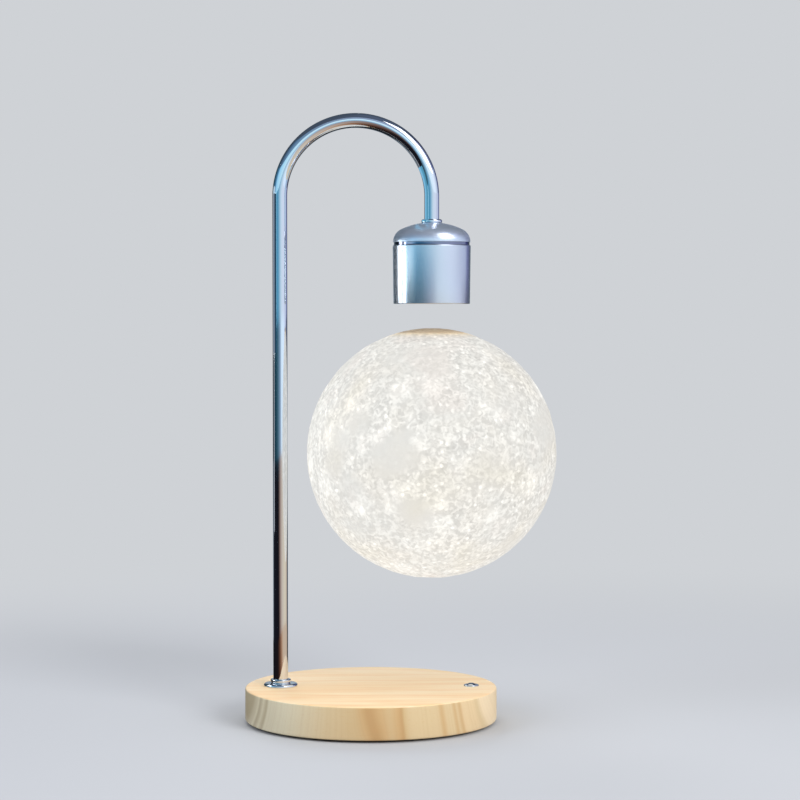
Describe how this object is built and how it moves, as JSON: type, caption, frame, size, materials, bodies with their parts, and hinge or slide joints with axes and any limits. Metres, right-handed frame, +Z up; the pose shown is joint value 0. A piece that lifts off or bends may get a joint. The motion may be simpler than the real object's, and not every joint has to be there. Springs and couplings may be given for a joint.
{
  "type": "levitating moon lamp",
  "caption": "Table lamp: wooden disc base, arched chrome tube and a magnet head under which a glowing cratered sphere floats, free to turn and bob.",
  "frame": {"origin": "centre of the face that the foot ring rests on, under the centre of the wooden base", "axes": "+Z up, +X from the tube's leg towards the button, +Y to the rear, where the inlet is"},
  "size_m": [0.1873, 0.1516, 0.3655],
  "materials": {
    "wood": "oiled pale pine, flat grain on top and end bands on the side",
    "steel": "zinc plated steel",
    "rubber": "matte moulded rubber",
    "circuit_board": "solder-masked glass fibre board",
    "black_plastic": "moulded black plastic",
    "lead_sleeve": "soft cable sleeve",
    "brass": "bare brass",
    "chrome": "polished chrome plating",
    "satin_aluminium": "satin anodised aluminium",
    "polished_aluminium": "polished aluminium",
    "copper": "enamelled copper wire",
    "magnet": "nickel plated magnet",
    "ferrite": "sintered ferrite",
    "moon_plastic": "printed translucent plastic, lit from inside",
    "cap_plastic": "printed plastic",
    "diode": "phosphor of a light diode"
  },
  "bodies": {
    "root": {"wooden_base": "wood", "base_plate": "steel", "plate_screws": "steel", "foot_ring": "rubber", "control_board": "circuit_board", "board_parts": "black_plastic", "board_spacers": "black_plastic", "board_screws": "steel", "jack_body": "steel", "jack_nut": "steel", "jack_pin": "brass", "jack_leads": "lead_sleeve", "button_bezel": "chrome", "bezel_nut": "steel", "button_spring": "steel", "switch_insert": "black_plastic", "button_leads": "lead_sleeve", "tube": "chrome", "tube_collar": "chrome", "tube_washer": "steel", "tube_nut": "steel", "head_cable": "lead_sleeve", "head_ferrule": "chrome", "head_dome": "satin_aluminium", "trim_ring": "polished_aluminium", "head_body": "satin_aluminium", "head_face": "black_plastic", "head_washer": "steel", "head_nut": "steel", "driver_board": "circuit_board", "driver_parts": "black_plastic", "coil_bobbin": "black_plastic", "coil_winding": "copper", "coil_core": "steel", "ring_magnet": "magnet", "sensor_board": "circuit_board", "ferrite_disc": "ferrite", "power_coil": "copper"},
    "button": {"button_cap": "chrome", "button_clip": "steel", "switch_plunger": "black_plastic"},
    "lift_magnet": {"moon_magnet": "magnet"},
    "moon": {"moon_shell": "moon_plastic", "moon_cap": "cap_plastic", "magnet_holder": "black_plastic", "receiver_coil": "copper", "rectifier_board": "circuit_board", "light_post": "cap_plastic", "led_board": "circuit_board", "leds": "diode"}
  },
  "joints": [
    {"name": "button_press", "type": "slide", "parent": "root", "child": "button", "axis": [0, 0, -1], "range_m": [0, 0.0008], "stiffness_N_per_m": 400, "springref_m": -0.0015, "deforming": ["button_spring"]},
    {"name": "moon_float", "type": "slide", "parent": "root", "child": "lift_magnet", "axis": [0, 0, 1], "range_m": [-0.065, 0.0145], "stiffness_N_per_m": 150, "springref_m": 0.0145},
    {"name": "moon_turn", "type": "hinge", "parent": "lift_magnet", "child": "moon", "pos_m": [0.0365, 0, 0.16205], "axis": [0, 0, 1], "continuous": true}
  ]
}
